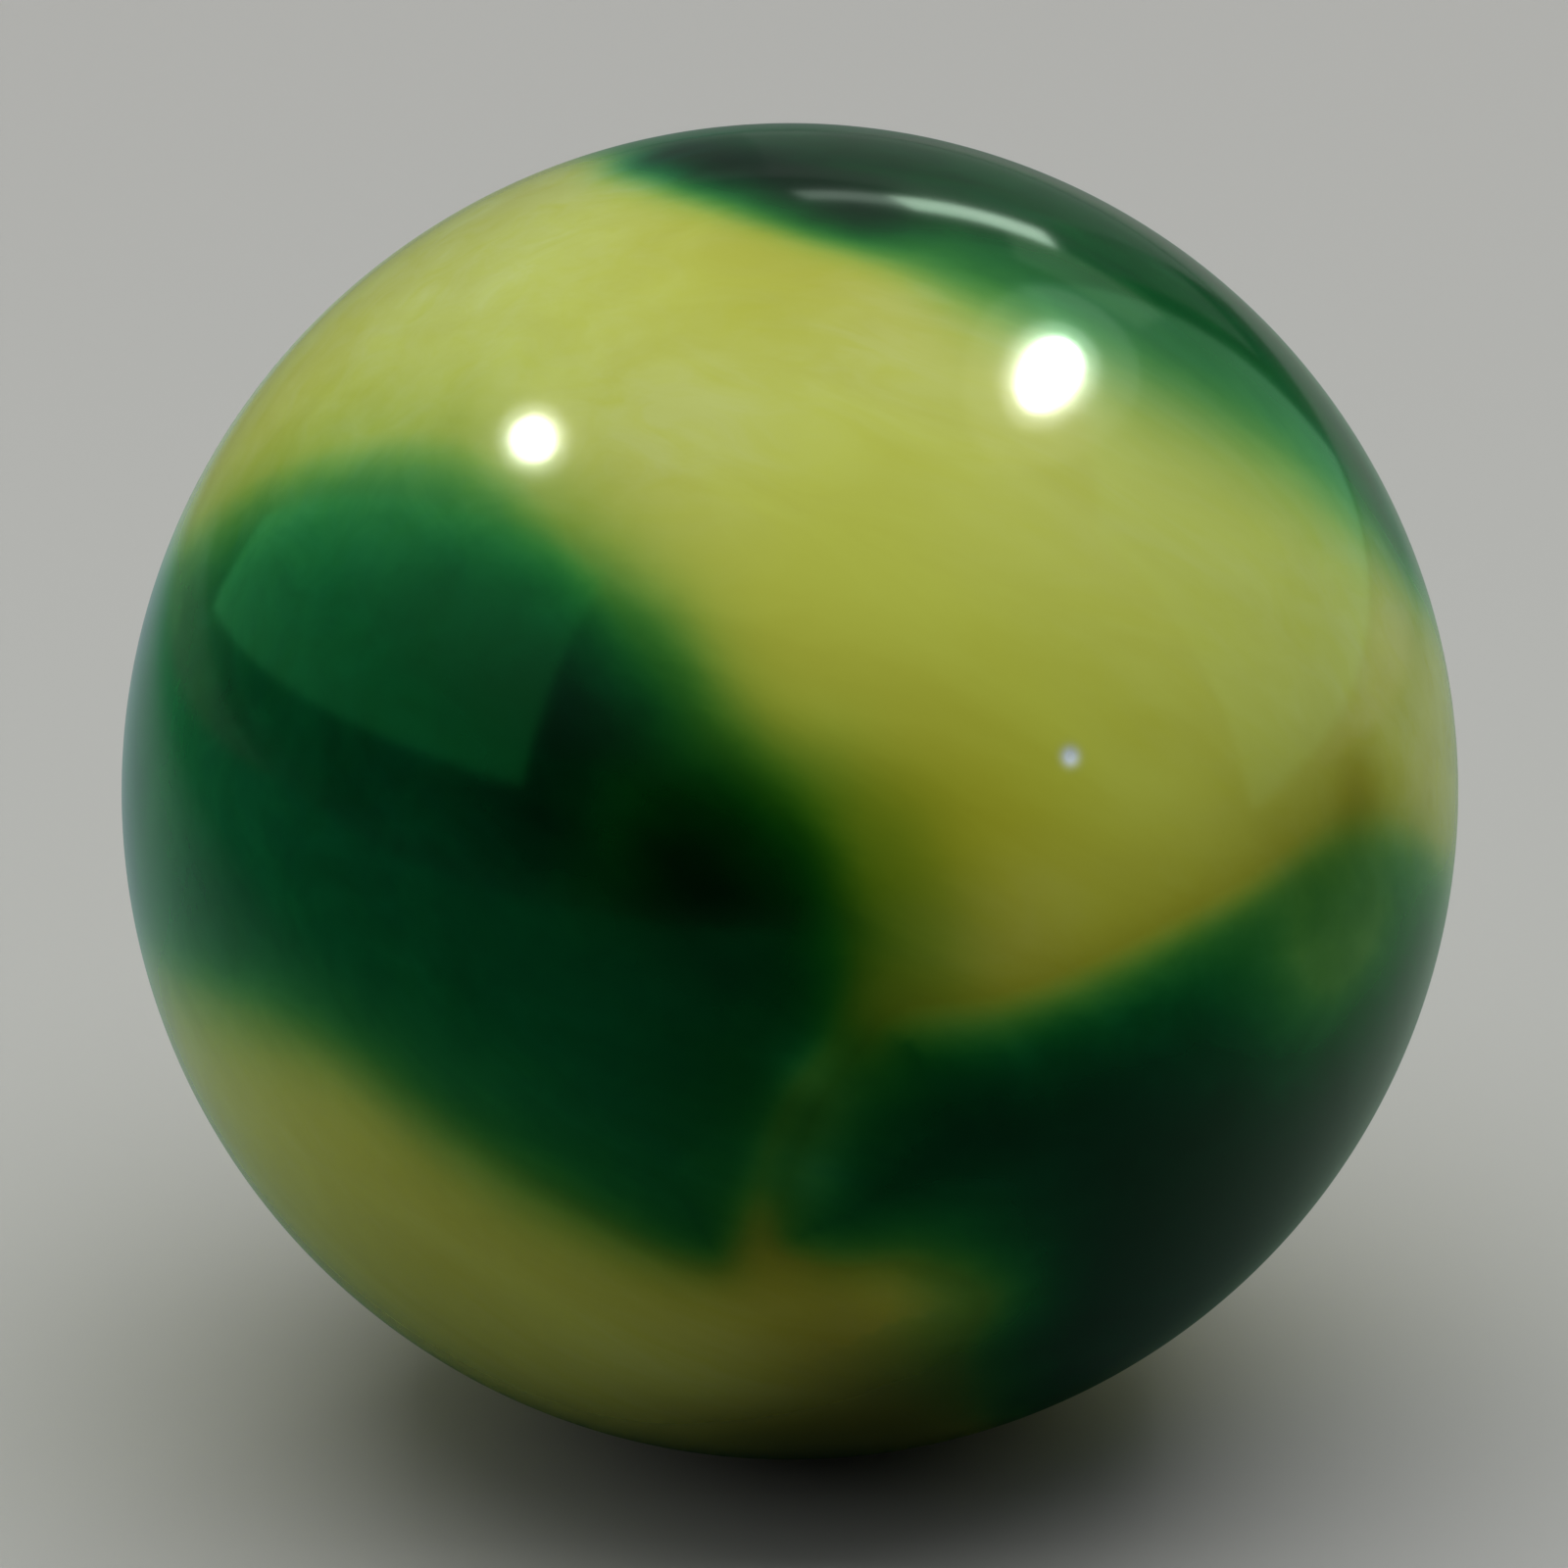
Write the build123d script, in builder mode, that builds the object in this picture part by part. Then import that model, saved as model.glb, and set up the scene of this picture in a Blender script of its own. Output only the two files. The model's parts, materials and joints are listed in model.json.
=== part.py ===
from build123d import *

import os
from math import cos, radians, sin

# A machine-made glass marble: a ball of opaque yellow glass with three bodies of
# dark green glass pressed into it while both were hot. Each green body is a lens:
# thick in its middle, thin at its rim, and flush with the ball's surface.
#
# Frame: millimetres, origin at the ball's centre, +Z up, -Y the front.
# Directions on the ball are (azimuth, elevation) in degrees. Azimuth 0 is the
# front and grows towards +X; elevation 0 is the equator and 90 the top.

ball_diameter = 16.0
ball_radius = ball_diameter / 2

left_patch_depth = 2.2
lower_patch_depth = 2.0
top_patch_depth = 2.4
# How far behind the ball's centre a patch's floor is centred. The further back,
# the faster the patch thins towards its rim.
floor_setback = 4.0

# The rays through an outline are cut by two flat sections, one nearer the centre
# than any pocket's floor and one clear of the ball.
near_section = 1.6
far_section = ball_radius + 0.2

# The left patch faces left of the front. Its right edge is the seam.
left_patch_facing = (-50, 10)
left_patch_outline = [
    (-85, 27),
    (-65, 42),
    (-45, 48),
    (-28, 44),
    (-16, 35),
    (-6, 25),
    (2, 17),
    (5.5, 9),
    (4, 2),
    (0.5, -3),
    (-2, -10),
    (-4, -18),
    (-8, -21),
    (-21, -14),
    (-41, -5),
    (-65, -8),
    (-95, -14),
    (-117, -8),
    (-119, 7),
    (-105, 19),
]

# The lower patch starts at the seam and runs round to the right and underneath.
# A fin of yellow glass, the seam, parts it from the left patch.
lower_patch_facing = (48, -24)
lower_patch_outline = [
    (9, 4),
    (6, 1),
    (2.5, -4),
    (0, -11),
    (-1.5, -18),
    (3, -21),
    (11, -21),
    (18, -26),
    (17, -35),
    (24, -50),
    (45, -61),
    (75, -58),
    (96, -43),
    (102, -25),
    (93, -9),
    (74, 2),
    (56, 11),
    (37, 9),
    (20, 5),
]

# The top patch caps the far right side and reaches over the top.
top_patch_facing = (128, 45)
top_patch_outline = [
    (-132, 68),
    (-70, 79),
    (0, 77),
    (27, 72),
    (51, 58),
    (69, 41),
    (80, 24),
    (95, 11),
    (116, 2),
    (140, -5),
    (165, 3),
    (-175, 23),
    (-155, 48),
]


def direction(azimuth, elevation):
    """The unit vector from the ball's centre towards a point of its surface."""
    across = cos(radians(elevation))
    return Vector(
        across * sin(radians(azimuth)),
        -across * cos(radians(azimuth)),
        sin(radians(elevation)),
    )


def section_points(facing, outline, height):
    """Where rays from the centre through an outline cross the plane at a height."""
    points = []
    for azimuth, elevation in outline:
        ray = facing.to_local_coords(direction(azimuth, elevation))
        points.append((ray.X / ray.Z * height, ray.Y / ray.Z * height))
    return points


def green_patch(facing_direction, outline, depth):
    """A lens of green glass: ball surface outside, shallower sphere inside."""
    facing = Plane(origin=(0, 0, 0), z_dir=direction(*facing_direction))
    floor_centre = direction(*facing_direction) * -floor_setback
    floor_radius = ball_radius - depth + floor_setback
    with BuildPart() as patch:
        # The walls are the rays through the outline, so they point at the centre.
        for height in (near_section, far_section):
            with BuildSketch(facing.offset(height)):
                with BuildLine():
                    Spline(*section_points(facing, outline, height), periodic=True)
                make_face()
        loft(ruled=True)
        Sphere(ball_radius, mode=Mode.INTERSECT)
        with Locations(floor_centre):
            Sphere(floor_radius, mode=Mode.SUBTRACT)
    return patch


green_left_patch = green_patch(
    left_patch_facing, left_patch_outline, left_patch_depth
)
green_lower_patch = green_patch(
    lower_patch_facing, lower_patch_outline, lower_patch_depth
)
green_top_patch = green_patch(
    top_patch_facing, top_patch_outline, top_patch_depth
)

# The yellow base is what the green glass leaves of the ball, pockets and all.
with BuildPart() as yellow_base:
    Sphere(ball_radius)
    for patch in (green_left_patch, green_lower_patch, green_top_patch):
        add(patch.part, mode=Mode.SUBTRACT)

os.makedirs("parts", exist_ok=True)

yellow_base.part.label = "yellow_base"
export_step(yellow_base.part, "parts/yellow_base.step")
green_left_patch.part.label = "green_left_patch"
export_step(green_left_patch.part, "parts/green_left_patch.step")
green_lower_patch.part.label = "green_lower_patch"
export_step(green_lower_patch.part, "parts/green_lower_patch.step")
green_top_patch.part.label = "green_top_patch"
export_step(green_top_patch.part, "parts/green_top_patch.step")
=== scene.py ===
import json
import math

import bpy
import bmesh
import numpy as np
from mathutils import Matrix, Vector


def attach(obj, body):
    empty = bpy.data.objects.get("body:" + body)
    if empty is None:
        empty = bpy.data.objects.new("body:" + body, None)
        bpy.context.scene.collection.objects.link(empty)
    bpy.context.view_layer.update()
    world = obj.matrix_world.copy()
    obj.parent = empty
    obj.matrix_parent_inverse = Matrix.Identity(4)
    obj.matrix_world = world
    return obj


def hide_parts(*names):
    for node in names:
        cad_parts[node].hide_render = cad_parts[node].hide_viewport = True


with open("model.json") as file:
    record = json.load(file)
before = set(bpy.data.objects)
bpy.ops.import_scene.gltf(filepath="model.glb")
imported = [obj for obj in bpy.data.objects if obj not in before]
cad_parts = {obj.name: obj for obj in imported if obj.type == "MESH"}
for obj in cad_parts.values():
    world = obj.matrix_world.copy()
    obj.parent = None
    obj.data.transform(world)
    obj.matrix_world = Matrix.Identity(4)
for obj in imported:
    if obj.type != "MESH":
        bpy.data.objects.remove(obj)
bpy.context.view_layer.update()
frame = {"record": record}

# A glass marble: opaque yellow glass with three bodies of dark green glass fused flush
# into it. Lengths on the ball are in millimetres until a mesh is made, and all others are in
# metres. A direction is (azimuth, elevation) in degrees, azimuth 0 at the front (-Y) and
# growing towards +X.

MM = 0.001
mounts = {m["name"]: m for m in frame["record"]["mounts"]}
BALL_R = mounts["resting_point"]["dims"]["r_mm"]
FLOOR_Z = mounts["resting_point"]["pos_m"][2]
CAMERA_ELEVATION = 22


# ---------------------------------------------------------------- directions and fields
def direction(azimuth, elevation):
    """Unit vectors from the ball's centre, for numbers or for arrays of them."""
    a, e = np.radians(azimuth), np.radians(elevation)
    return np.stack([np.cos(e) * np.sin(a), -np.cos(e) * np.cos(a), np.sin(e)], -1)


def unit(v):
    """Vectors scaled to length 1."""
    return v / np.linalg.norm(v, axis=-1, keepdims=True)


class Loop:
    """A smooth closed outline on the ball, with a soft edge that varies along it."""

    # The farthest that the nearest point may lie from the nearest sample, in radians.
    REACH = 0.01

    def __init__(self, points, samples=900):
        az, el, width, centre = np.array(points, float).T
        knots = np.column_stack([direction(az, el), width, centre])
        # A Catmull-Rom curve: knot i is the last one passed, f the share of the way on.
        u = np.arange(samples) * len(knots) / samples
        i, f = u.astype(int), (u % 1)[:, None]
        p0, p1, p2, p3 = (knots[(i + k) % len(knots)] for k in (-1, 0, 1, 2))
        curve = 0.5 * (
            2 * p1
            + (p2 - p0) * f
            + (2 * p0 - 5 * p1 + 4 * p2 - p3) * f**2
            + (3 * p1 - p0 - 3 * p2 + p3) * f**3
        )
        self.edge = curve[:, 3:]
        self.at = unit(curve[:, :3])
        self.along = unit(np.roll(self.at, -1, 0) - np.roll(self.at, 1, 0))
        self.side = np.cross(self.at, self.along)
        # The side vectors have to point into the patch.
        if (self.side @ unit(self.at.sum(0))).mean() < 0:
            self.side = -self.side

    def measure(self, d):
        """For directions d: mm inside the outline, the nearest point of it, and how far
        the soft edge has risen there, from 0 outside to 1 inside."""
        signed, risen, foot = np.empty(len(d)), np.empty(len(d)), np.empty_like(d)
        # A block at a time, because every direction is compared with the whole outline.
        block = 20000
        for start in range(0, len(d), block):
            rows = slice(start, start + block)
            part = d[rows]
            k = (part @ self.at.T).argmax(1)
            slide = np.einsum("ij,ij->i", part, self.along[k])
            step = np.clip(slide, -self.REACH, self.REACH)[:, None]
            near = unit(self.at[k] + step * self.along[k])
            gap = np.arccos(np.clip(np.einsum("ij,ij->i", part, near), -1, 1))
            inside = np.sign(np.einsum("ij,ij->i", part, self.side[k]))
            signed[rows] = inside * gap * BALL_R
            width, centre = self.edge[k].T
            risen[rows] = 1 / (1 + np.exp(4 * (centre - signed[rows]) / width))
            foot[rows] = near
        return signed, foot, risen


def spot(d, azimuth, elevation, radius):
    """A soft round spot: 1 in its middle, fading out over radius degrees."""
    angle = np.degrees(np.arccos(np.clip(d @ direction(azimuth, elevation), -1, 1)))
    return np.exp(-((angle / radius) ** 2))


def trail(d, path, radius, samples=12):
    """A soft line along (azimuth, elevation) points: 1 on it, fading over radius degrees."""
    knots = direction(*np.array(path, float).T)
    steps = np.linspace(0, 1, samples)[:, None]
    line = np.vstack([a + (b - a) * steps for a, b in zip(knots, knots[1:])])
    angle = np.degrees(np.arccos(np.clip(d @ unit(line).T, -1, 1).max(1)))
    return np.exp(-((angle / radius) ** 2))


def lens(s, width):
    """How full a green body is at s mm inside its outline, from 0 at the rim towards 1."""
    return 1 - np.exp(-((np.maximum(s, 0) / width) ** 1.5))


# Each outline is (azimuth, elevation, width of the soft edge in mm, how far in from the
# outline the middle of the soft edge lies in mm).
LEFT = Loop(
    [
        (-85, 27, 1.4, 0.7), (-65, 42, 2.0, 1.25), (-45, 48, 2.4, 1.55), (-28, 44, 1.6, 0.8),
        (-16, 35, 1.0, -0.1), (-6, 25, 0.9, -0.15), (2, 17, 0.7, -0.1), (5.5, 9, 0.9, 0.1),
        (4, 2, 0.5, 0.2), (0.5, -3, 0.5, 0.2), (-2, -10, 0.5, 0.2), (-4, -18, 0.6, 0.2),
        (-8, -21, 0.9, 0.25), (-21, -14, 1.2, 0.05), (-41, -5, 1.2, 0.15),
        (-65, -8, 1.6, 0.5), (-95, -14, 1.2, 0.5), (-117, -8, 1.2, 0.5),
        (-119, 7, 1.2, 0.5), (-105, 19, 1.2, 0.5),
    ]
)
LOWER = Loop(
    [
        (9, 4, 0.7, 0.5), (6, 1, 0.7, 0.1), (2.5, -4, 0.45, -0.15), (0, -11, 0.45, -0.15),
        (-1.5, -18, 0.5, 0.15), (3, -21, 0.9, 0.3), (11, -21, 1.0, 0.0), (18, -26, 1.5, -0.35),
        (17, -35, 1.5, -0.2), (24, -50, 1.0, 0.3), (45, -61, 1.0, 0.5), (75, -58, 1.0, 0.5),
        (96, -43, 1.0, 0.5), (102, -25, 1.0, 0.5), (93, -9, 1.0, 0.5), (74, 2, 0.8, 0.4),
        (56, 11, 0.6, 0.3), (37, 9, 0.45, 0.38), (20, 5, 0.7, 0.45),
    ]
)
TOP = Loop(
    [
        (-132, 68, 0.8, 0.0), (-70, 79, 0.6, 0.0), (0, 77, 0.5, -0.05), (27, 72, 0.6, -0.1),
        (51, 58, 1.4, -0.15), (69, 41, 1.6, 0.0), (80, 24, 1.2, 0.15), (95, 11, 1.0, 0.5),
        (116, 2, 1.0, 0.5), (140, -5, 1.0, 0.5), (165, 3, 1.0, 0.5), (-175, 23, 1.0, 0.5),
        (-155, 48, 0.8, 0.4),
    ]
)
# For each green body: its outline, how deep it goes in mm, the optical depth of its skin and
# of its middle, over how many mm in from the rim the middle sets in, and spots that are
# denser or clearer, as (azimuth, elevation, radius in degrees, added optical depth).
PATCHES = {
    "green_left_patch": (LEFT, 2.2, 1.7, 1.2, 1.0, [
        (0, 13, 11, 1.3), (-7, 17, 6.5, 1.0), (-19, 29, 9, 2.1), (-15, 22, 3.5, -0.8),
        (-14, 16.5, 4, -0.6), (-21, 18, 4, 0.4), (-9, 25, 3, -0.9), (-76, 9, 22, -1.6),
        (-45, 2, 9, -0.3), (-30, -3, 9, -0.2), (-20, -4, 14, -0.35), (-3, -12, 7, -0.7),
    ]),
    "green_lower_patch": (LOWER, 2.0, 0.88, 4.3, 1.8, [
        (52, 3, 15, -5.1), (27, -24, 9, 1.6), (84, -8, 20, -2.6),
    ]),
    "green_top_patch": (TOP, 2.4, 1.2, 0.9, 1.3, [(0, 80, 16, 1.6)]),
}
# However clear its spots are, the middle of a green body adds no less than this.
CLEAREST_MIDDLE = -0.25
# A green body thins towards its rim over RIM_WIDTH and is SHALLOWEST just inside it, in mm.
RIM_WIDTH = 1.2
SHALLOWEST = 0.004
# Thin green films that lie over the yellow glass: (path, radius in degrees, optical depth).
# The first joins the left and the lower body over the seam between them, the second veils
# the belt where it narrows between them, and the third darkens the tip of the top body.
FILMS = [
    ([(4, 1), (1, -2), (-0.5, -5), (-1.2, -8), (-1.6, -11)], 3.2, 0.5),
    ([(2, 21), (7, 17), (9, 12), (10, 6), (8, 3)], 5.5, 0.28),
    ([(-110, 80), (-80, 85), (-30, 86), (10, 83), (30, 78)], 4.2, 1.5),
]
# The yellow glass is a little amber and milky everywhere, and more or less so in spots, as
# (azimuth, elevation, radius in degrees, amount); two of the pale spots are a painted glow.
# Smoke darkens both glasses in spots too, and under the ball it is painted shade.
AMBER_EVERYWHERE = 0.08
AMBER_SPOTS = [
    (10, 16, 11, 0.3), (57, 12, 4, 0.4), (62, -6, 14, 0.2), (4, -30, 7, 0.35),
    (14, -38, 10, 0.2), (8, -52, 14, 0.4), (10, 75, 14, 0.3), (-10, 18, 9, 0.6),
    (0, -10, 5, -0.9), (2, -1, 4, -0.8), (9, 21, 5, 0.05), (50, 5, 12, 0.12),
    (-38, -24, 16, 0.15), (-70, 50, 16, -0.08),
]
PALE_EVERYWHERE = 0.22
# The spots at (-15, 53) and (18, 62), one beside each lamp's highlight, are a painted glow of
# the lamps; the others make the glass milkier or clearer.
PALE_AND_GLOW_SPOTS = [
    (14, 25, 18, -0.35), (5, 42, 12, -0.15), (-15, 53, 8, 0.7), (18, 62, 7, 0.8),
    (-64, 58, 20, 0.3), (-115, 66, 20, 0.6), (-10, -35, 25, 0.3), (16, 8, 8, 0.6),
    (10, 20, 7, -0.2), (0, -30, 10, 0.4), (35, 42, 16, 0.2), (62, 24, 12, 0.25),
    (84, 12, 18, 1.0),
]
# The spots below an elevation of -30 paint shade on the ball's underside; the others are smoke
# in the glass.
SMOKE_AND_SHADE_SPOTS = [
    (-45, -42, 20, 0.2), (-12, -42, 36, 0.32), (14, -38, 10, 0.6), (8, -52, 14, 1.3),
    (0, -68, 26, 1.1), (-115, 66, 20, 0.15), (2, -7, 9, 0.55), (82, 14, 16, -0.15),
    (50, 5, 12, 0.3), (62, 52, 12, 0.35),
]
# Amber along the outline of a green body (strength, how far it reaches outwards and inwards
# from the outline in mm), in a soft spot at the front of the ball.
AMBER_EDGES = {
    "green_left_patch": (0.8, 1.1, 0.7),
    "green_lower_patch": (0.6, 0.7, 0.5),
}
AMBER_FRONT = (5, -5, 50)
# A small chip in the yellow glass: its direction, radius in degrees and depth in mm.
NICK = (25.4, 22.9)
NICK_SIZE = 0.7
NICK_DEEP = 0.02


def total(d, spots):
    """What spots of (azimuth, elevation, radius, amount) add up to at directions d."""
    return sum(amount * spot(d, az, el, radius) for az, el, radius, amount in spots)


def fields(d):
    """What the glass is like at directions d, with painted shade, glow and glint among it: named
    arrays, one value each.
    """
    out = {
        "green_depth": np.zeros(len(d)),
        "amber": AMBER_EVERYWHERE + total(d, AMBER_SPOTS),
    }
    front = spot(d, *AMBER_FRONT)
    for name, (loop, deep, skin, middle, reach, spots) in PATCHES.items():
        s, _, risen = loop.measure(d)
        out["thick:" + name] = deep * lens(s, RIM_WIDTH)
        density = np.maximum(middle + total(d, spots), CLEAREST_MIDDLE)
        out["green_depth"] += skin * risen
        out["green_depth"] += density * lens(s, reach)
        if name in AMBER_EDGES:
            strength, outwards, inwards = AMBER_EDGES[name]
            fade_out = np.exp(np.minimum(s, 0) / outwards)
            fade_in = np.exp(-np.maximum(s, 0) / inwards)
            out["amber"] += strength * front * fade_out * fade_in
    for path, radius, depth in FILMS:
        out["green_depth"] += depth * trail(d, path, radius)
    out["pale"] = np.clip(PALE_EVERYWHERE + total(d, PALE_AND_GLOW_SPOTS), 0, 1)
    # Smoke in the glass, and painted shade under the ball.
    out["smoke_and_shade"] = total(d, SMOKE_AND_SHADE_SPOTS)
    out["chip"] = spot(d, *NICK, NICK_SIZE)
    return out


# ---------------------------------------------------------------- the ball's surface
def merge(points, digits):
    """Points without repeats, which of the given ones each is, and each one's new number."""
    _, first, number = np.unique(
        np.round(points, digits), axis=0, return_index=True, return_inverse=True
    )
    return points[first], first, number.reshape(-1)


def within(points, centre, radius):
    """Which points lie within radius degrees of a direction."""
    return points @ direction(*centre) > math.cos(math.radians(radius))


def edge_ends(tris):
    """The two ends of every side of every triangle, the lower number first."""
    return np.sort(tris[:, [0, 1, 1, 2, 2, 0]].reshape(-1, 2), axis=1)


def geodesic(frequency):
    """A unit ball of even triangles: each face of an icosahedron cut into frequency^2."""
    bm = bmesh.new()
    bmesh.ops.create_icosphere(bm, subdivisions=1, radius=1)
    corners = np.array([v.co[:] for v in bm.verts])
    faces = [[v.index for v in f.verts] for f in bm.faces]
    bm.free()
    points, tris = [], []
    for face in faces:
        a, b, c = corners[face]
        index = {}
        for i in range(frequency + 1):
            for j in range(frequency + 1 - i):
                index[i, j] = len(points)
                points.append(a + (b - a) * i / frequency + (c - a) * j / frequency)
        for i in range(frequency):
            for j in range(frequency - i):
                tris.append((index[i, j], index[i + 1, j], index[i, j + 1]))
                if i + j < frequency - 1:
                    tris.append((index[i + 1, j], index[i + 1, j + 1], index[i, j + 1]))
    points, _, number = merge(unit(np.array(points)), digits=6)
    return points, number[np.array(tris)]


def cut_along(points, tris, loop, snap):
    """Puts mesh edges on a loop: points within snap mm of it move onto it, and edges that
    cross it split."""
    s, foot, _ = loop.measure(points)
    near = np.abs(s) < snap
    points = np.where(near[:, None], foot, points)
    s = np.where(near, 0.0, s)
    side = np.sign(s)
    ends = edge_ends(tris)
    crossing = np.unique(ends[side[ends[:, 0]] * side[ends[:, 1]] < 0], axis=0)
    share = s[crossing[:, 0]] / (s[crossing[:, 0]] - s[crossing[:, 1]])
    fresh = unit(
        points[crossing[:, 0]]
        + (points[crossing[:, 1]] - points[crossing[:, 0]]) * share[:, None]
    )
    fresh = loop.measure(fresh)[1]
    made = {tuple(e): len(points) + k for k, e in enumerate(crossing.tolist())}
    crossed = (side[tris].min(1) < 0) & (side[tris].max(1) > 0)
    extra = []
    for tri in tris[crossed].tolist():
        signs = [side[v] for v in tri]
        if 0 in signs:
            turn = signs.index(0)
            a, b, c = tri[turn:] + tri[:turn]
            bc = made[min(b, c), max(b, c)]
            extra += [(a, b, bc), (a, bc, c)]
            continue
        turn = next(k for k in range(3) if signs[k] != signs[k - 1] and signs[k] != signs[k - 2])
        a, b, c = tri[turn:] + tri[:turn]
        ab, ac = made[min(a, b), max(a, b)], made[min(a, c), max(a, c)]
        extra += [(a, ab, ac), (ab, b, c), (ab, c, ac)]
    extra = np.array(extra, int).reshape(-1, 3)
    return np.vstack([points, fresh]), np.vstack([tris[~crossed], extra])


def refine(points, tris, centre, radius):
    """Halves every mesh edge that lies within radius degrees of a direction."""
    near = within(points, centre, radius)
    ends = edge_ends(tris)
    halved = np.unique(ends[near[ends].all(1)], axis=0)
    made = {tuple(e): len(points) + k for k, e in enumerate(halved.tolist())}
    touched = near[tris].sum(1) > 1
    extra = []
    for tri in tris[touched].tolist():
        if near[tri].all():
            a, b, c = tri
            ab, bc, ca = (made[min(p, q), max(p, q)] for p, q in ((a, b), (b, c), (c, a)))
            extra += [(a, ab, ca), (ab, b, bc), (ca, bc, c), (ab, bc, ca)]
            continue
        turn = next(k for k in range(3) if not near[tri[k]])
        a, b, c = tri[turn:] + tri[:turn]
        bc = made[min(b, c), max(b, c)]
        extra += [(a, b, bc), (a, bc, c)]
    fresh = unit(points[halved].sum(1))
    return np.vstack([points, fresh]), np.vstack([tris[~touched], np.array(extra, int)])


def corner_normals(points, tris):
    """Smooth normals of a surface of triangles, one per point."""
    a, b, c = (points[tris[:, k]] for k in range(3))
    face = np.cross(b - a, c - a)
    summed = np.zeros_like(points)
    for k in range(3):
        np.add.at(summed, tris[:, k], face)
    # A point that no triangle uses keeps a normal of zero.
    return summed / np.maximum(np.linalg.norm(summed, axis=1, keepdims=True), 1e-20)


def mesh_object(name, points, faces):
    """A smooth-shaded mesh object in the scene, from points in metres."""
    mesh = bpy.data.meshes.new(name)
    mesh.from_pydata(points, [], faces)
    mesh.polygons.foreach_set("use_smooth", [True] * len(faces))
    obj = bpy.data.objects.new(name, mesh)
    bpy.context.scene.collection.objects.link(obj)
    return obj


def make_piece(name, skins, values):
    """A mesh object from two skins, each (points in mm, triangles, normals per point).

    values holds one number per point for each attribute. Points that fall in the same place
    in both skins, as a rim's do, become one.
    """
    used = [np.unique(faces) for _, faces, _ in skins]
    points = np.vstack([skin[0][rows] for skin, rows in zip(skins, used)])
    tris, normals, offset = [], [], 0
    for (_, faces, normal), rows in zip(skins, used):
        tris.append(np.searchsorted(rows, faces) + offset)
        normals.append(normal[faces])
        offset += len(rows)
    points, first, number = merge(points, digits=7)
    tris = number[np.vstack(tris)]
    obj = mesh_object(name, (points * MM).tolist(), tris.tolist())
    obj.data.normals_split_custom_set(np.vstack(normals).reshape(-1, 3).tolist())
    for key, value in values.items():
        value = np.concatenate([value[rows] for rows in used])[first]
        obj.data.attributes.new(key, "FLOAT", "POINT").data.foreach_set("value", value)
    return obj


# How many parts each side of the icosahedron is cut into, and the angle in radians that
# such a side spans.
FREQUENCY = 84
ICOSAHEDRON_SIDE = 1.107
# Points closer to an outline than this share of a mesh edge move onto it.
SNAP = 0.3
# The mesh is halved this many times round the nick, within these radii in degrees.
NICK_RINGS = (4.0, 2.6, 1.8)
ATTRIBUTES = ("green_depth", "amber", "pale", "smoke_and_shade", "chip")


def glass_bodies():
    """The four bodies of glass as mesh objects, each under its CAD node's name."""
    points, tris = geodesic(FREQUENCY)
    edge = BALL_R * ICOSAHEDRON_SIDE / FREQUENCY
    for loop, *_ in PATCHES.values():
        points, tris = cut_along(points, tris, loop, snap=SNAP * edge)
    for radius in NICK_RINGS:
        points, tris = refine(points, tris, NICK, radius)
    field = fields(points)
    values = {key: field[key] for key in ATTRIBUTES}

    # The ball's skin, dented by the nick, and which body owns each triangle of it.
    outer = points * (BALL_R - NICK_DEEP * field["chip"])[:, None]
    in_nick = within(points, NICK, 3 * NICK_SIZE)
    outer_normals = np.where(in_nick[:, None], corner_normals(outer, tris), points)
    middles = unit(points[tris].mean(1))
    owner = np.full(len(tris), "yellow_base", dtype=object)
    for name, (loop, *_) in PATCHES.items():
        owner[loop.measure(middles)[0] > 0] = name

    # The undersides of the green bodies, which are also the pockets of the yellow one.
    depth = np.zeros(len(points))
    for name in PATCHES:
        mine = np.unique(tris[owner == name])
        rim = np.intersect1d(mine, np.unique(tris[owner != name]))
        depth[mine] = np.maximum(field["thick:" + name][mine], SHALLOWEST)
        depth[rim] = 0
    inner = points * (BALL_R - depth)[:, None]
    pockets = tris[owner != "yellow_base"]
    inner_normals = corner_normals(inner, pockets)

    bodies = {}
    for name in PATCHES:
        mine = tris[owner == name]
        skins = [(outer, mine, outer_normals), (inner, mine[:, ::-1], -inner_normals)]
        bodies[name] = make_piece(name + "_glass", skins, values)
    rest = tris[owner == "yellow_base"]
    skins = [(outer, rest, outer_normals), (inner, pockets, inner_normals)]
    bodies["yellow_base"] = make_piece("yellow_base_glass", skins, values)
    return bodies


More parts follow.
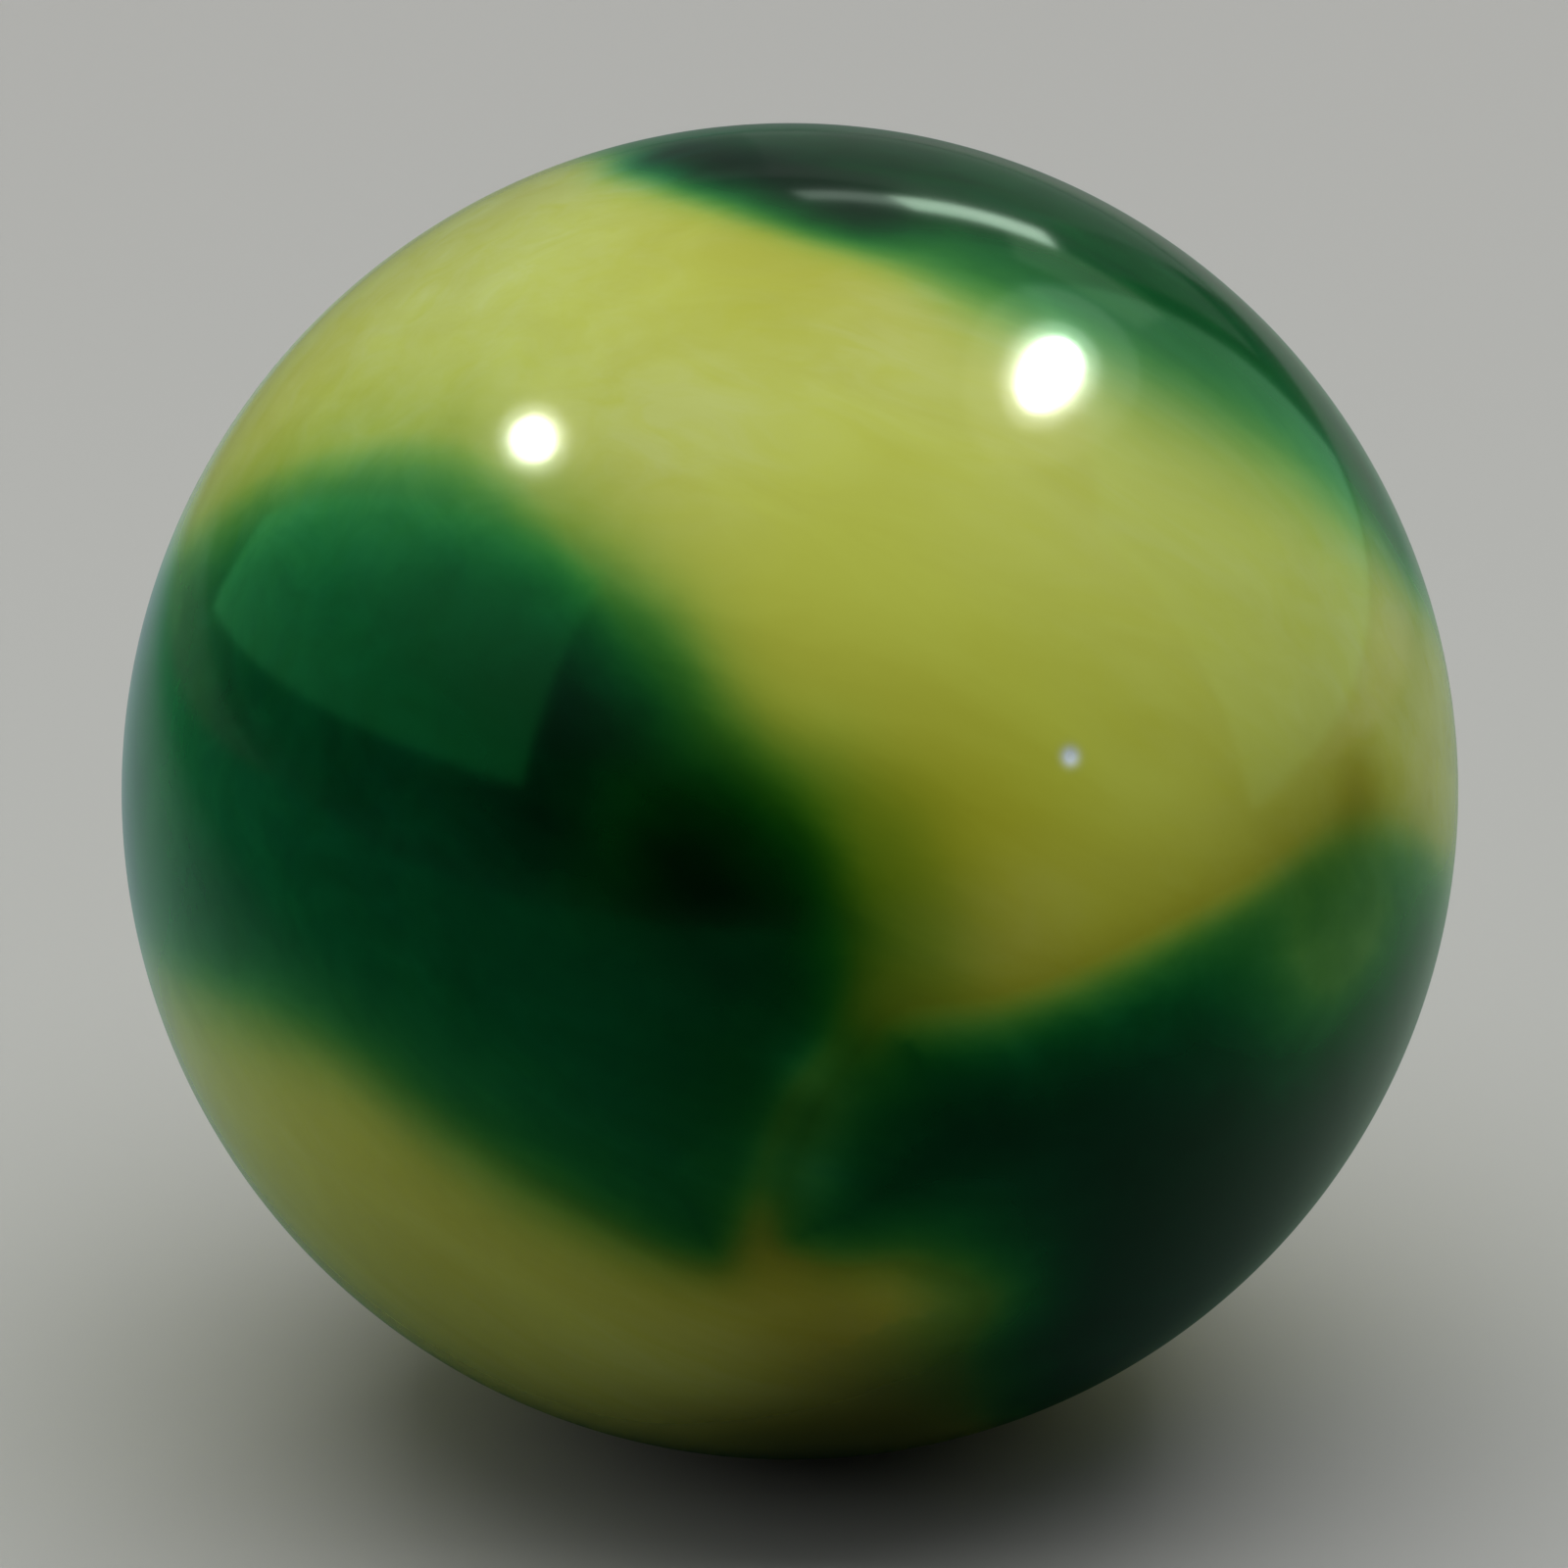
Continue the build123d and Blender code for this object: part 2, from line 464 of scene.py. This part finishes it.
# ---------------------------------------------------------------- materials
class Nodes:
    """Short ways to add nodes to a node tree."""

    def __init__(self, tree):
        self.tree = tree

    def add(self, kind, **settings):
        node = self.tree.nodes.new(kind)
        for key, value in settings.items():
            setattr(node, key, value)
        return node

    def put(self, socket, value):
        if hasattr(value, "is_output"):
            self.tree.links.new(value, socket)
        else:
            socket.default_value = value

    def maths(self, operation, a, b=0.0, clamp=False):
        node = self.add("ShaderNodeMath", operation=operation, use_clamp=clamp)
        self.put(node.inputs[0], a)
        self.put(node.inputs[1], b)
        return node.outputs[0]

    def mix(self, factor, a, b):
        node = self.add("ShaderNodeMix", data_type="RGBA")
        self.put(node.inputs["Factor"], factor)
        self.put(node.inputs[6], a)
        self.put(node.inputs[7], b)
        return node.outputs[2]

    def noise(self, at, scale, detail=3.0, rough=0.5, distortion=0.0):
        node = self.add("ShaderNodeTexNoise")
        self.put(node.inputs["Vector"], at)
        node.inputs["Scale"].default_value = scale
        node.inputs["Detail"].default_value = detail
        node.inputs["Roughness"].default_value = rough
        node.inputs["Distortion"].default_value = distortion
        return node.outputs["Fac"]

    def ramp(self, value, low, high):
        """0 at low to 1 at high, eased at both ends; low may be the larger."""
        node = self.add("ShaderNodeMapRange", interpolation_type="SMOOTHSTEP")
        self.put(node.inputs["Value"], value)
        node.inputs["From Min"].default_value = low
        node.inputs["From Max"].default_value = high
        return node.outputs[0]

    def attribute(self, name):
        return self.add("ShaderNodeAttribute", attribute_name=name).outputs["Fac"]


# The colours of clean and of milky yellow glass, the milky one also used for the painted glow
# beside the lamps' highlights, and how strongly green glass and amber each take out red,
# green and blue.
YELLOW = (0.56, 0.63, 0.085)
PALE = (0.60, 0.68, 0.22)
GREEN_K = (2.6, 1.0, 0.78)
AMBER_K = (0.78, 1.0, 2.7)
# The chip's pale colour, a painted glint over its real dent, and how much its soft middle is
# flattened.
CHIP_GLINT_COLOUR = (0.75, 0.85, 0.88)
CHIP_GAIN = 1.3
GLASS_IOR = 1.5
GLASS_ROUGHNESS = 0.08
# Streaks run with the belt of yellow glass, down to the right: their tilt in degrees, and
# the size of their noise along them and across them.
STREAK_TILT = 28
STREAK_SIZE = (4 * MM, 1 * MM, 1 * MM)
# The green glass is this dense at least, and streaks and fine specks add up to this much.
EVEN_SHARE = 0.66
STREAK_SHARE = 0.44
SPECK_SHARE = 0.24
AMBER_STREAKS = 0.3
SMEAR_ROUGHNESS = 0.05
# The mirror image on yellow and on green glass takes these tints. The green one is reached
# at an optical depth of 1 / SHEEN_GAIN.
YELLOW_SHEEN = (1.0, 1.0, 0.8)
GREEN_SHEEN = (0.3, 1.0, 0.5)
SHEEN_GAIN = 1.2


def glass(name):
    """Glass whose colour is the yellow glass seen through the green that lies over it, with
    painted shade under the ball, a painted glow beside the lamps' highlights and a painted glint
    on the chip.
    """
    mat = bpy.data.materials.new(name)
    mat.use_nodes = True
    bsdf = mat.node_tree.nodes["Principled BSDF"]
    n = Nodes(mat.node_tree)
    at = n.add("ShaderNodeTexCoord").outputs["Object"]
    flow = n.add("ShaderNodeMapping", vector_type="TEXTURE")
    n.put(flow.inputs["Vector"], at)
    flow.inputs["Rotation"].default_value = (0.0, math.radians(STREAK_TILT), 0.0)
    flow.inputs["Scale"].default_value = STREAK_SIZE
    along = flow.outputs[0]
    streak = n.noise(along, 0.9, 4.0, 0.55, 0.6)
    speck = n.noise(at, 1400, 3.0, 0.6, 0.3)
    wisp = n.noise(along, 1.7, 3.0, 0.6, 1.2)
    smear = n.noise(along, 2.2, 3.0, 0.6)

    uneven = n.maths("ADD", EVEN_SHARE, n.maths("MULTIPLY", streak, STREAK_SHARE))
    uneven = n.maths("ADD", uneven, n.maths("MULTIPLY", speck, SPECK_SHARE))
    depth = n.maths("MULTIPLY", n.attribute("green_depth"), uneven)
    stain = n.maths("MULTIPLY", n.maths("SUBTRACT", streak, 0.5), AMBER_STREAKS)
    amber = n.maths("ADD", n.attribute("amber"), stain)
    # The wisps are 0.5 on average, so twice their value keeps the milkiness, and the painted
    # glow, as a whole.
    pale = n.maths("MULTIPLY", n.attribute("pale"), n.maths("MULTIPLY", wisp, 2.0))
    # Smoke in the glass, and painted shade on the ball's underside.
    smoke_and_shade = n.attribute("smoke_and_shade")

    base = n.mix(pale, (*YELLOW, 1), (*PALE, 1))
    tint = n.add("ShaderNodeCombineXYZ")
    for socket, green_k, amber_k in zip(tint.inputs, GREEN_K, AMBER_K):
        by_green = n.maths("MULTIPLY", depth, -green_k)
        by_amber = n.maths("MULTIPLY", amber, -amber_k)
        stained = n.maths("ADD", by_green, by_amber)
        n.put(socket, n.maths("EXPONENT", n.maths("SUBTRACT", stained, smoke_and_shade)))
    seen = n.add("ShaderNodeVectorMath", operation="MULTIPLY")
    n.put(seen.inputs[0], base)
    n.put(seen.inputs[1], tint.outputs[0])
    # The chip is painted pale: a painted glint.
    chip = n.maths("MULTIPLY", n.attribute("chip"), CHIP_GAIN, clamp=True)
    n.put(bsdf.inputs["Base Color"], n.mix(chip, seen.outputs[0], (*CHIP_GLINT_COLOUR, 1)))
    bsdf.inputs["IOR"].default_value = GLASS_IOR
    greenness = n.maths("MULTIPLY", depth, SHEEN_GAIN, clamp=True)
    sheen = n.mix(greenness, (*YELLOW_SHEEN, 1), (*GREEN_SHEEN, 1))
    n.put(bsdf.inputs["Specular Tint"], sheen)
    smeared = n.maths("MULTIPLY", smear, SMEAR_ROUGHNESS)
    n.put(bsdf.inputs["Roughness"], n.maths("ADD", GLASS_ROUGHNESS, smeared))
    return mat


materials = {slot: glass(slot) for slot in ("green_glass", "yellow_glass")}
for node, obj in glass_bodies().items():
    slot = "yellow_glass" if node == "yellow_base" else "green_glass"
    obj.data.materials.append(materials[slot])
    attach(obj, "root")
    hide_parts(node)


# ---------------------------------------------------------------- floor and backdrop
FLOOR_RADIUS = 0.6
COVE_BEND = 0.3
COVE_TOP = 1.2
# The sheet that the ball mirrors lies this high over the floor.
CLEARANCE = 0.02 * MM
# A turned surface starts at this radius and not at a point on the axis.
PINHOLE = 1e-5


def matt(name):
    """A matt material, with its node helper and the socket of its colour."""
    mat = bpy.data.materials.new(name)
    mat.use_nodes = True
    bsdf = mat.node_tree.nodes["Principled BSDF"]
    bsdf.inputs["Roughness"].default_value = 0.9
    bsdf.inputs["Specular IOR Level"].default_value = 0.1
    return mat, Nodes(mat.node_tree), bsdf.inputs["Base Color"]


def pale_paper():
    """The floor's paper, slightly darker and warmer behind the ball."""
    mat, n, colour = matt("pale_paper")
    at = n.add("ShaderNodeSeparateXYZ")
    n.put(at.inputs[0], n.add("ShaderNodeTexCoord").outputs["Object"])
    behind = n.ramp(at.outputs["Y"], 0, 70 * MM)
    n.put(colour, n.mix(behind, (0.465, 0.464, 0.444, 1), (0.438, 0.43, 0.412, 1)))
    return mat


def mirrored_floor():
    """What the ball mirrors in place of the floor, with light and shade painted on it: a painted
    pool of light behind the ball, painted shade on the ground round the pool, both cooler on the
    left as painted cool light, and dim grey far behind."""
    mat, n, colour = matt("mirrored_floor")
    place = n.add("ShaderNodeTexCoord").outputs["Object"]
    at = n.add("ShaderNodeSeparateXYZ")
    n.put(at.inputs[0], place)
    across, back = at.outputs["X"], at.outputs["Y"]
    from_pool = n.add("ShaderNodeVectorMath", operation="DISTANCE")
    n.put(from_pool.inputs[0], place)
    from_pool.inputs[1].default_value = (0, 28 * MM, FLOOR_Z)
    # The pool is dimmer along its middle line: painted shade.
    beside = n.ramp(n.maths("ABSOLUTE", across), 1 * MM, 14 * MM)
    unshaded = n.maths("ADD", 0.25, n.maths("MULTIPLY", beside, 0.75))
    in_pool = n.ramp(from_pool.outputs["Value"], 54 * MM, 20 * MM)
    cool = n.ramp(across, 10 * MM, -20 * MM)
    lit = n.mix(cool, (0.24, 0.30, 0.25, 1), (0.27, 0.35, 0.38, 1))
    unlit = n.mix(cool, (0.0, 0.06, 0.035, 1), (0.02, 0.18, 0.11, 1))
    right = n.ramp(across, 0, 20 * MM)
    distant = n.mix(right, (0.13, 0.15, 0.14, 1), (0.22, 0.22, 0.21, 1))
    unlit = n.mix(n.ramp(back, 38 * MM, 60 * MM), unlit, distant)
    n.put(colour, n.mix(n.maths("MULTIPLY", in_pool, unshaded), unlit, lit))
    return mat


def ring_surface(name, profile, material, segments=96):
    """A surface turned round the vertical axis from (radius, height) points, in metres."""
    verts, faces = [], []
    for r, z in profile:
        for k in range(segments):
            a = 2 * math.pi * k / segments
            verts.append((r * math.cos(a), r * math.sin(a), z))
    for i in range(len(profile) - 1):
        for k in range(segments):
            a, b = i * segments + k, i * segments + (k + 1) % segments
            faces.append((a, b, b + segments, a + segments))
    obj = mesh_object(name, verts, faces)
    obj.data.materials.append(material)
    return obj


def disc(height):
    """The profile of a flat disc as wide as the floor."""
    return [(PINHOLE, height), (FLOOR_RADIUS, height)]


paper = pale_paper()
floor = ring_surface("floor", disc(FLOOR_Z), paper)
floor.visible_glossy = False
sheet = ring_surface("mirrored_floor", disc(FLOOR_Z + CLEARANCE), mirrored_floor())
sheet.visible_camera = sheet.visible_diffuse = sheet.visible_shadow = False
cove_profile = [
    (FLOOR_RADIUS + COVE_BEND * math.sin(t), FLOOR_Z + COVE_BEND - COVE_BEND * math.cos(t))
    for t in np.linspace(0, math.pi / 2, 13)
]
cove_profile.append((FLOOR_RADIUS + COVE_BEND, COVE_TOP))
cove = ring_surface("cove", cove_profile, paper)
cove.visible_glossy = cove.visible_diffuse = cove.visible_shadow = False


# ---------------------------------------------------------------- lights
# The direction from the ball to the camera.
VIEW = Vector(direction(0, CAMERA_ELEVATION))
FILL = 1.15
LAMP_DISTANCE = 0.6
SOFTBOX_AT = Vector((0.02, 0.04, 0.7))
SOFTBOX_SIZE = 0.9
SOFTBOX_RADIANCE = 2.0
# Each lamp is a bright disc in a glow and a haze: its azimuth, its elevation and, for each
# disc, the ending of its name, its long and short size in degrees, and its radiance.
LAMPS = {
    "lamp_left": (-101, 54, [
        ("", 9.4, 5.3, 65.0), ("_glow", 16.6, 9.1, 4.0), ("_haze", 32, 16, 0.35),
    ]),
    "lamp_right": (123, 51, [
        ("", 19.2, 6.5, 65.0), ("_glow", 28.0, 10.8, 4.0), ("_haze", 46, 20, 0.6),
    ]),
}
# The bright walls of the room: azimuth, distance in metres, left, right, bottom and top
# edge in metres, radiance, turn in degrees and the colour of their mirror image. What they
# cast on the ball is white and FILL times as bright.
WALLS = {
    "window": (-50, 0.6, -3.41, 0.009, 0.094, 0.69, 0.60, 2.6, (0.2, 1.0, 0.4)),
    "far_wall": (115, 0.5, -0.30, 0.33, 0.0, 0.55, 0.52, 0, (0.45, 1.0, 0.6)),
}
# What stands behind the ball slopes down to the right as the camera sees it, with a bright
# edge along its top: left, right, bottom and top edge in metres, radiance, turn in degrees,
# colour and whether it also lights the ball.
BEHIND = (165, 0.5)
BACKDROP = {
    "bright_edge": (-0.08, 0.055, 0.267, 0.313, 4.2, 42, (0.92, 1.0, 0.92), True),
    "dim_edge": (0.02, 0.13, 0.328, 0.368, 1.2, 24, (1, 1, 1), True),
    "above_edge": (-0.20, -0.06, 0.24, 0.36, 0.34, 29, (0.8, 1.0, 0.7), False),
    "backdrop_low": (-0.11, -0.03, 0.05, 0.22, 0.08, 0, (1, 1, 1), False),
    "backdrop": (-0.03, 0.15, 0.0, 0.28, 0.13, 0, (1, 1, 1), False),
    "backdrop_left": (0.15, 0.60, 0.0, 0.28, 0.09, 0, (1, 1, 1), False),
}


def area_light(name, place, across, up, wide, tall, radiance, shape="RECTANGLE",
               colour=(1, 1, 1), glossy=True, diffuse=True):
    """An area light at place, sizes in metres. Its sides lie along across and up, and it
    shines the opposite way to across x up."""
    data = bpy.data.lights.new(name, "AREA")
    data.shape = shape
    data.size, data.size_y = wide, tall
    area = wide * tall * (math.pi / 4 if shape == "ELLIPSE" else 1)
    data.energy = radiance * math.pi * area
    data.color = colour
    obj = bpy.data.objects.new(name, data)
    x, y = across.normalized(), up.normalized()
    obj.matrix_world = Matrix((x, y, x.cross(y))).transposed().to_4x4()
    obj.location = place
    obj.visible_camera = False
    obj.visible_glossy = glossy
    obj.visible_diffuse = diffuse
    bpy.context.scene.collection.objects.link(obj)


def lamp(name, azimuth, elevation, long, short, radiance):
    """A soft round lamp that only reflections show. long and short are its angular sizes in
    degrees; the long one lies in the plane of the view, so that the curved glass mirrors it
    as round."""
    towards = Vector(direction(azimuth, elevation))
    across = (VIEW - towards * VIEW.dot(towards)).normalized()
    wide, tall = (
        2 * LAMP_DISTANCE * math.tan(math.radians(size / 2)) for size in (long, short)
    )
    area_light(name, towards * LAMP_DISTANCE, across, towards.cross(across), wide, tall,
               radiance, "ELLIPSE", diffuse=False)


def card(name, azimuth, distance, left, right, bottom, top, radiance, turn, **settings):
    """An upright lit card that faces the ball. Its edges are in metres from the point
    straight out from the ball's centre; left to right is the way the azimuth grows, and
    turn tips the right end up, in degrees."""
    out = Vector(direction(azimuth, 0))
    up = Vector((0, 0, 1))
    side = up.cross(out)
    centre = out * distance + side * (left + right) / 2 + up * (bottom + top) / 2
    tip = Matrix.Rotation(math.radians(turn), 3, out)
    area_light(name, centre, tip @ side, tip @ up, right - left, top - bottom, radiance,
               **settings)


def room_light():
    """A world that is bright overhead, with a faint haze up to just over the horizon."""
    world = bpy.data.worlds.new("room")
    bpy.context.scene.world = world
    world.use_nodes = True
    n = Nodes(world.node_tree)
    at = n.add("ShaderNodeSeparateXYZ")
    n.put(at.inputs[0], n.add("ShaderNodeTexCoord").outputs["Generated"])
    strengths = []
    # Overhead and then haze, each from one height and strength to another.
    for low, high, weak, strong in ((0.35, 0.8, 0.02, 0.4), (0.02, 0.06, 0.03, 0.0)):
        node = n.add("ShaderNodeMapRange")
        n.put(node.inputs["Value"], at.outputs["Z"])
        node.inputs["From Min"].default_value = low
        node.inputs["From Max"].default_value = high
        node.inputs["To Min"].default_value = weak
        node.inputs["To Max"].default_value = strong
        strengths.append(node.outputs[0])
    background = world.node_tree.nodes["Background"]
    background.inputs["Color"].default_value = (0.95, 1.0, 1.0, 1)
    n.put(background.inputs["Strength"], n.maths("ADD", *strengths))


for name, (azimuth, elevation, discs) in LAMPS.items():
    for ending, *shape in discs:
        lamp(name + ending, azimuth, elevation, *shape)
for name, (*edges, radiance, turn, colour) in WALLS.items():
    card(name, *edges, radiance, turn, colour=colour, diffuse=False)
    card(name + "_fill", *edges, FILL * radiance, turn, glossy=False)
for name, (*shape, colour, lights_ball) in BACKDROP.items():
    card(name, *BEHIND, *shape, colour=colour, diffuse=lights_ball)
area_light("softbox", SOFTBOX_AT, Vector((1, 0, 0)), Vector((0, 1, 0)),
           SOFTBOX_SIZE, SOFTBOX_SIZE, SOFTBOX_RADIANCE, glossy=False)
room_light()


# ---------------------------------------------------------------- camera
CAMERA_DISTANCE = 0.12
LENS = 229.65
SENSOR_WIDTH = 36
# Where the ball sits off the middle of the frame, as shares of the frame's width.
SHIFT_X = -0.00375
SHIFT_Y = 0.0046875
camera = bpy.data.objects.new("camera", bpy.data.cameras.new("camera"))
bpy.context.scene.collection.objects.link(camera)
camera.location = VIEW * CAMERA_DISTANCE
camera.rotation_euler = VIEW.to_track_quat("Z", "Y").to_euler()
camera.data.lens = LENS
camera.data.sensor_width = SENSOR_WIDTH
camera.data.clip_start, camera.data.clip_end = 0.01, 3
camera.data.dof.use_dof = False
camera.data.shift_x = SHIFT_X
camera.data.shift_y = SHIFT_Y
bpy.context.scene.camera = camera

bpy.context.scene.view_settings.view_transform = "Standard"
